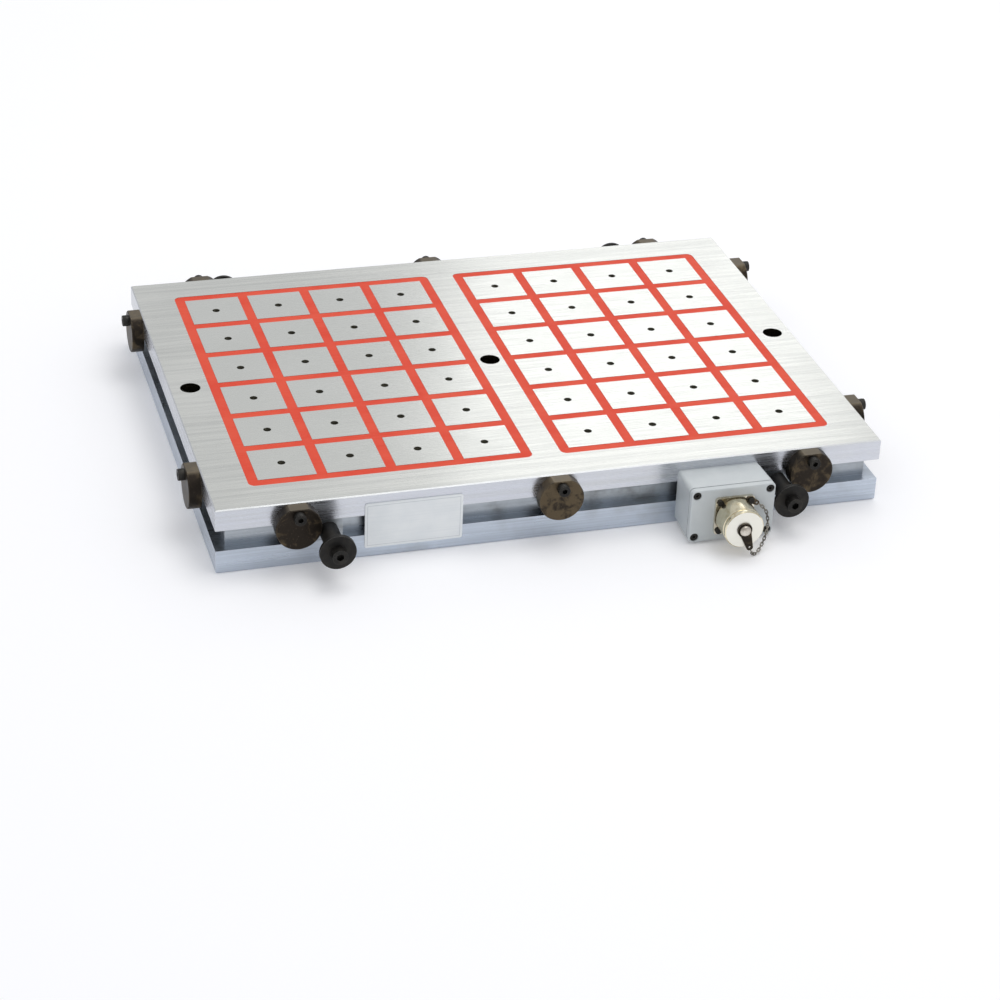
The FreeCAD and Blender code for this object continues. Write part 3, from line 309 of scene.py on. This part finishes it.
def nickel(name, bright, tarnish, rough_low, rough_high, sanded=0.0):
    """Nickel on brass, worn warm where hands rub it; faces to the front may be sanded rougher and paler."""
    paint = Paint(name, Metallic=1.0)
    cloud = paint.noise(130, 5.0, 0.6)
    fine = paint.noise(1500, 2.0, 0.6)
    color = paint.mix(paint.span(cloud, 0.42, 0.75, 0.0, 0.75), bright, tarnish)
    front = paint.math("MULTIPLY", paint.span(paint.facing("Y"), 0.9, 0.98), sanded)
    color = paint.mix(front, color, tone(236, 234, 224))
    # Paler edges: painted edge highlight, partly edge wear.
    color = paint.mix(paint.math("MULTIPLY", paint.edges(0.3 * MM), 0.5), color, tone(250, 246, 232))
    rough = paint.math("ADD", paint.span(cloud, 0.3, 0.7, rough_low, rough_high),
                       paint.span(fine, 0.3, 0.7, 0.0, 0.05))
    rough = paint.math("ADD", rough, paint.math("MULTIPLY", front, 0.22))
    return paint.give(Base_Color=color, Roughness=rough, Normal=paint.bump(fine, 0.2, 0.015 * MM))


def label_film(name):
    """Bare satin plate with a fine grey border line."""
    paint = Paint(name, IOR=1.45)
    low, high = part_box("name_plate")
    x, _, z = paint.axes(paint.place)
    centre, half = (low + high) / 2, (high - low) / 2
    from_side = paint.math("SUBTRACT", half.x, paint.math("ABSOLUTE", paint.math("SUBTRACT", x, centre.x)))
    from_top = paint.math("SUBTRACT", half.z, paint.math("ABSOLUTE", paint.math("SUBTRACT", z, centre.z)))
    inset = paint.math("MINIMUM", from_side, from_top)
    offset = paint.math("ABSOLUTE", paint.math("SUBTRACT", inset, 2.2 * MM))
    border = paint.span(offset, 0.32 * MM, 0.14 * MM)
    lines = paint.noise(900, 2.0, stretch=(0.02, 1, 1))
    cloud = paint.noise(55, 4.0)
    color = paint.mix(paint.span(cloud, 0.3, 0.75), tone(236, 240, 241), tone(243, 246, 246))
    color = paint.mix(paint.span(lines, 0.4, 0.8, 0.0, 0.3), color, tone(224, 229, 232))
    color = paint.mix(paint.math("MULTIPLY", border, 0.45), color, tone(150, 156, 162))
    return paint.give(Base_Color=color, Roughness=paint.span(lines, 0.3, 0.7, 0.36, 0.46),
                      Normal=paint.bump(lines, 0.1, 0.01 * MM))


def moulded(name, low, high, roughness):
    """Moulded rubber or plastic: slightly mottled and finely grained."""
    paint = Paint(name, IOR=1.5)
    fine = paint.noise(1600, 2.0, 0.6)
    cloud = paint.noise(150, 3.0)
    color = paint.mix(paint.span(cloud, 0.3, 0.7), low, high)
    return paint.give(Base_Color=color, Roughness=paint.span(fine, 0.3, 0.7, roughness, roughness + 0.1),
                      Normal=paint.bump(fine, 0.3, 0.03 * MM))


def winding(name):
    """Varnished copper wire laid round and round, with painted shade between the turns."""
    paint = Paint(name, Metallic=0.9)
    z = paint.axes(paint.place)[2]
    turns = paint.math("SINE", paint.math("MULTIPLY", z, math.tau / (1.1 * MM)))
    # Painted shade: troughs between the turns darker, crests paler.
    color = paint.mix(paint.span(turns, -1.0, 1.0), tone(120, 58, 30), tone(196, 112, 62))
    return paint.give(Base_Color=color, Roughness=0.35, Normal=paint.bump(turns, 0.8, 0.3 * MM))


def dress(names, material):
    """Puts one material on several CAD nodes."""
    for name in names:
        mesh = NODES[name].data
        mesh.materials.clear()
        mesh.materials.append(material)


def dress_nodes():
    """A finish for every CAD node."""
    named = lambda start: [name for name in NODES if name.startswith(start)]
    dress(["face_frame"], ground_steel("ground_steel"))
    dress(named("pole_column"), pole_steel("pole_steel"))
    # The base plate's bluish tone is partly a painted reflection of bluish surroundings, partly the steel's
    # own tint.
    dress(["base_plate"], milled_steel("base_steel", tone(196, 205, 217), tone(150, 152, 150), 0.3))
    # Painted shade: the groove's web and bush get a darker tone than the base plate, standing for the
    # groove's shade.
    dress(["side_frame", "lead_bush"], milled_steel("web_steel", tone(172, 178, 184), tone(96, 94, 84), 0.6))
    dress(named("resin"), epoxy("red_resin"))
    dark, worn, rub_and_top_light = tone(44, 38, 32), tone(92, 80, 62), tone(140, 130, 112)
    for name in named("stop_"):
        if name != "stop_screws":
            wear = {"stop_front_middle": 1.0, "stop_front_right": 0.45, "stop_front_left": 0.3}.get(name, 0.5)
            dress([name], worn_black(f"{name}_steel", dark, worn, wear, rub_and_top_light))
    dress(["bollard_front_left", "bollard_front_right", "bollard_back_left", "bollard_back_right"],
          black_oxide("bollard_steel", 0.42))
    dress(["stop_screws", "bollard_screws", "body_screws", "lid_screws", "housing_screws", "flange_screws"],
          black_oxide("screw_steel", 0.38, 0.35))
    dress(["name_plate"], label_film("bare_label"))
    dress(["connector_housing", "housing_lid"], grey_enamel("grey_enamel"))
    dress(["lid_gasket"], moulded("gasket_rubber", tone(120, 124, 128), tone(136, 140, 143), 0.6))
    dress(["cap_seal"], moulded("seal_rubber", tone(28, 28, 28), tone(40, 40, 40), 0.6))
    dress(["connector_insert"], moulded("insulator", tone(30, 30, 32), tone(42, 42, 44), 0.4))
    dress(["connector_shell"], nickel("shell_nickel", tone(226, 222, 208), tone(168, 150, 112), 0.16, 0.26))
    dress(["connector_cap"], nickel("cap_nickel", tone(226, 218, 192), tone(178, 160, 116), 0.13, 0.2, 1.0))
    dress(["cap_rivet"], nickel("rivet_nickel", tone(214, 208, 198), tone(150, 138, 122), 0.2, 0.34))
    dress(["connector_pins"], nickel("pin_gold", tone(232, 200, 120), tone(196, 160, 88), 0.2, 0.3))
    dress(["cap_lug", "chain_eye"], worn_black("strap_steel", tone(40, 34, 28), tone(96, 84, 66), 0.45,
                                               tone(170, 160, 142)))
    dress(named("alnico"), milled_steel("alnico", tone(120, 122, 124), tone(80, 80, 78), 0.4))
    dress(named("column_magnets") + named("row_magnets"),
          milled_steel("magnet", tone(112, 112, 114), tone(76, 74, 70), 0.4))
    dress(named("coils"), winding("copper_winding"))


# ---------------------------------------------------------------- stage


FLOOR_LIFT = 0.12    # what the paper floor needs to look white where nothing shades it


def make_floor():
    """Pale floor whose shadows stay."""
    mesh = bpy.data.meshes.new("floor")
    reach = 12
    mesh.from_pydata([(-reach, -reach, 0), (reach, -reach, 0), (reach, reach, 0), (-reach, reach, 0)], [],
                     [(0, 1, 2, 3)])
    floor = bpy.data.objects.new("floor", mesh)
    bpy.context.scene.collection.objects.link(floor)
    paint = Paint("floor_paper")
    rays = paint.add("ShaderNodeLightPath").outputs
    seen = paint.math("MAXIMUM", rays["Is Camera Ray"], rays["Is Glossy Ray"])
    paint.shader.inputs["Emission Color"].default_value = tone(255, 255, 255)
    paint.give(Base_Color=tone(250, 250, 252), Roughness=0.9,
               Emission_Strength=paint.math("MULTIPLY", seen, FLOOR_LIFT))
    mesh.materials.append(paint.material)


def make_world():
    """Studio surround: pale grey at the horizon, brighter overhead, plain white as a background."""
    world = bpy.data.worlds.new("studio")
    bpy.context.scene.world = world
    world.use_nodes = True
    nodes, links = world.node_tree.nodes, world.node_tree.links
    split = nodes.new("ShaderNodeSeparateXYZ")
    links.new(nodes.new("ShaderNodeTexCoord").outputs["Generated"], split.inputs[0])
    ramp = nodes.new("ShaderNodeValToRGB")
    links.new(split.outputs["Z"], ramp.inputs[0])
    for place, color in ((0.0, tone(228, 230, 237)), (0.45, tone(232, 233, 235)), (0.9, tone(236, 237, 240))):
        element = ramp.color_ramp.elements.new(place)
        element.color = color
    ramp.color_ramp.elements.remove(ramp.color_ramp.elements[0])
    ramp.color_ramp.elements.remove(ramp.color_ramp.elements[-1])
    shown = nodes.new("ShaderNodeMix")
    shown.data_type = "RGBA"
    links.new(nodes.new("ShaderNodeLightPath").outputs["Is Camera Ray"], shown.inputs["Factor"])
    links.new(ramp.outputs[0], shown.inputs[6])
    shown.inputs[7].default_value = (1.25, 1.25, 1.25, 1)
    links.new(shown.outputs[2], nodes["Background"].inputs["Color"])
    nodes["Background"].inputs["Strength"].default_value = 0.8


def aim(item, place, target):
    """Stands a lamp at a place, looking at a target."""
    item.location = place
    item.rotation_euler = (Vector(target) - Vector(place)).to_track_quat("-Z", "Y").to_euler()


def make_lamp(name, place, target, width, height, power, color):
    """Rectangular soft box."""
    data = bpy.data.lights.new(name, "AREA")
    data.shape = "RECTANGLE"
    data.size, data.size_y = width, height
    data.energy = power
    data.color = color
    lamp = bpy.data.objects.new(name, data)
    bpy.context.scene.collection.objects.link(lamp)
    aim(lamp, place, target)


def make_camera():
    """Camera at the product picture's angle: from the front left, looking down, slightly rolled."""
    data = bpy.data.cameras.new("camera")
    camera = bpy.data.objects.new("camera", data)
    bpy.context.scene.collection.objects.link(camera)
    heading, dip, roll = math.radians(-17.33), math.radians(28.04), math.radians(2.65)
    turn = (Matrix.Rotation(heading, 4, "Z") @ Matrix.Rotation(math.pi / 2 - dip, 4, "X")
            @ Matrix.Rotation(roll, 4, "Z"))
    camera.matrix_world = Matrix.Translation((-0.62774, -2.07005, 1.16615)) @ turn
    data.lens = 96.43
    data.sensor_width = 36
    data.shift_x, data.shift_y = -0.007, -0.095
    data.clip_end = 50
    bpy.context.scene.camera = camera


def make_lamps():
    """Broad key overhead, a strip for the front edge, and a panel behind for the ground face."""
    centre = (0, 0, 0.03)
    make_lamp("key", (0.9, 0.5, 3.4), centre, 2.4, 1.8, 34, (1.0, 0.99, 0.97))
    make_lamp("edge_light", (0.8, -1.45, 2.7), centre, 1.6, 0.6, 5, (1.0, 1.0, 1.0))
    make_lamp("back_panel", (1.2, 2.7, 1.6), (0.1, 0, 0.05), 0.9, 0.8, 2.6, (1.0, 1.0, 1.0))


# ---------------------------------------------------------------- chain of the connector cap

CHAIN_ROUTE = [(164.664, -258.0, 36.075), (170.5, -259.5, 31.6), (172.1, -263.3, 23.6), (170.1, -268.7, 15.0),
               (164.5, -274.9, 8.0), (158.3, -280.3, 2.1), (151.9, -283.15, 1.6), (150.372, -283.15, 7.071)]
LINK_LENGTH, LINK_WIDTH, LINK_WIRE = 4.8 * MM, 3.1 * MM, 0.95 * MM


def route_points(route):
    """Points along the smooth line that the route's points control, and its length."""
    curve = bpy.data.curves.new("route", "CURVE")
    curve.dimensions = "3D"
    curve.resolution_u = 24
    spline = curve.splines.new("NURBS")
    spline.points.add(len(route) - 1)
    for point, place in zip(spline.points, route):
        point.co = (*(Vector(place) * MM), 1)
    spline.order_u = 3
    spline.use_endpoint_u = True
    item = bpy.data.objects.new("route", curve)
    mesh = bpy.data.meshes.new_from_object(item)
    points = [vertex.co.copy() for vertex in mesh.vertices]
    bpy.data.objects.remove(item)
    bpy.data.meshes.remove(mesh)
    length = sum((b - a).length for a, b in zip(points, points[1:]))
    return points, length


def along(points, distance):
    """Place and direction at a distance along a line of points."""
    for a, b in zip(points, points[1:]):
        run = (b - a).length
        if distance <= run:
            return a.lerp(b, distance / run), (b - a).normalized()
        distance -= run
    return points[-1].copy(), (points[-1] - points[-2]).normalized()


def link_line(length, width, steps=24):
    """Closed oval centreline of a link, lying along X."""
    radius = width / 2
    straight = length / 2 - radius
    line = []
    for step in range(steps):
        angle = math.tau * step / steps
        shift = straight if math.cos(angle) > 0 else -straight
        line.append(Vector((radius * math.cos(angle) + shift, radius * math.sin(angle), 0)))
    return line


def add_ring(mesh, line, wire, place, sides=8):
    """Round wire bent to a closed line, moved by a matrix into a bmesh."""
    rows = []
    count = len(line)
    for index, point in enumerate(line):
        ahead = (line[(index + 1) % count] - line[index - 1]).normalized()
        out = ahead.cross(Vector((0, 0, 1)))
        row = []
        for side in range(sides):
            angle = math.tau * side / sides
            offset = out * math.cos(angle) + Vector((0, 0, 1)) * math.sin(angle)
            row.append(mesh.verts.new(place @ (point + offset * wire / 2)))
        rows.append(row)
    for index, row in enumerate(rows):
        after = rows[(index + 1) % count]
        for side in range(sides):
            turn = (side + 1) % sides
            mesh.faces.new((row[side], after[side], after[turn], row[turn]))


def finish_mesh(name, mesh, material, body):
    """Turns a bmesh into a smooth piece that rides on a body."""
    data = bpy.data.meshes.new(name)
    bmesh.ops.recalc_face_normals(mesh, faces=mesh.faces)
    mesh.to_mesh(data)
    mesh.free()
    data.materials.append(material)
    data.shade_smooth()
    piece = bpy.data.objects.new(name, data)
    bpy.context.scene.collection.objects.link(piece)
    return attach(piece, body)


def make_chain():
    """Oval links, each a quarter turn from the last, hung on the route between flange and lug."""
    points, length = route_points(CHAIN_ROUTE)
    pitch = LINK_LENGTH - 2 * LINK_WIRE
    count = round(length / pitch)
    mesh = bmesh.new()
    line = link_line(LINK_LENGTH - LINK_WIRE, LINK_WIDTH - LINK_WIRE)
    side = Vector((1, 0, 0))
    for index in range(count):
        middle, ahead = along(points, length * (index + 0.5) / count)
        side = (side - ahead * side.dot(ahead)).normalized()
        across = side if index % 2 else ahead.cross(side)
        turn = Matrix((ahead, across, ahead.cross(across))).transposed().to_4x4()
        add_ring(mesh, line, LINK_WIRE, Matrix.Translation(middle) @ turn)
    paint = worn_black("chain_steel", tone(70, 68, 66), tone(150, 146, 138), 0.8, tone(196, 192, 184))
    chain = finish_mesh("cap_chain_links", mesh, paint, "chuck")
    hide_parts("cap_chain")


# ---------------------------------------------------------------- knurls of the stop screws


def make_knurls():
    """Fine straight ribs round the head of each stop's screw."""
    mesh = bmesh.new()
    ribs, low, high = 40, 4.99 * MM, 5.14 * MM
    for joint in frame["joints"]:
        if not joint["name"].startswith("turn_stop"):
            continue
        node = joint["name"].removeprefix("turn_")
        lowest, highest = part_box(node)
        middle = (lowest + highest) / 2
        axis = Vector((0, math.copysign(1, middle.y), 0))
        if node.startswith(("stop_left", "stop_right")):
            axis = Vector((math.copysign(1, middle.x), 0, 0))
        outer = highest if axis.x + axis.y > 0 else lowest
        pivot = Vector(joint["pos_m"])
        pivot += axis * (outer - pivot).dot(axis)
        across = axis.cross(Vector((0, 0, 1)))
        rows = []
        for depth, proud in ((0.7, False), (1.0, True), (4.9, True), (5.2, False)):
            row = []
            for step in range(2 * ribs):
                angle = math.pi * step / ribs
                radius = high if proud and step % 2 else low
                out = across * math.cos(angle) + Vector((0, 0, 1)) * math.sin(angle)
                row.append(mesh.verts.new(pivot + axis * depth * MM + out * radius))
            rows.append(row)
        for near, far in zip(rows, rows[1:]):
            for step in range(2 * ribs):
                turn = (step + 1) % (2 * ribs)
                mesh.faces.new((near[step], near[turn], far[turn], far[step]))
    knurls = finish_mesh("stop_screw_knurls", mesh, black_oxide("knurl_steel", 0.4, 0.15), "chuck")


# ---------------------------------------------------------------- scene

make_camera()
make_chain()
dress_nodes()
make_knurls()
make_floor()
make_world()
make_lamps()
bpy.context.scene.view_settings.view_transform = "Standard"
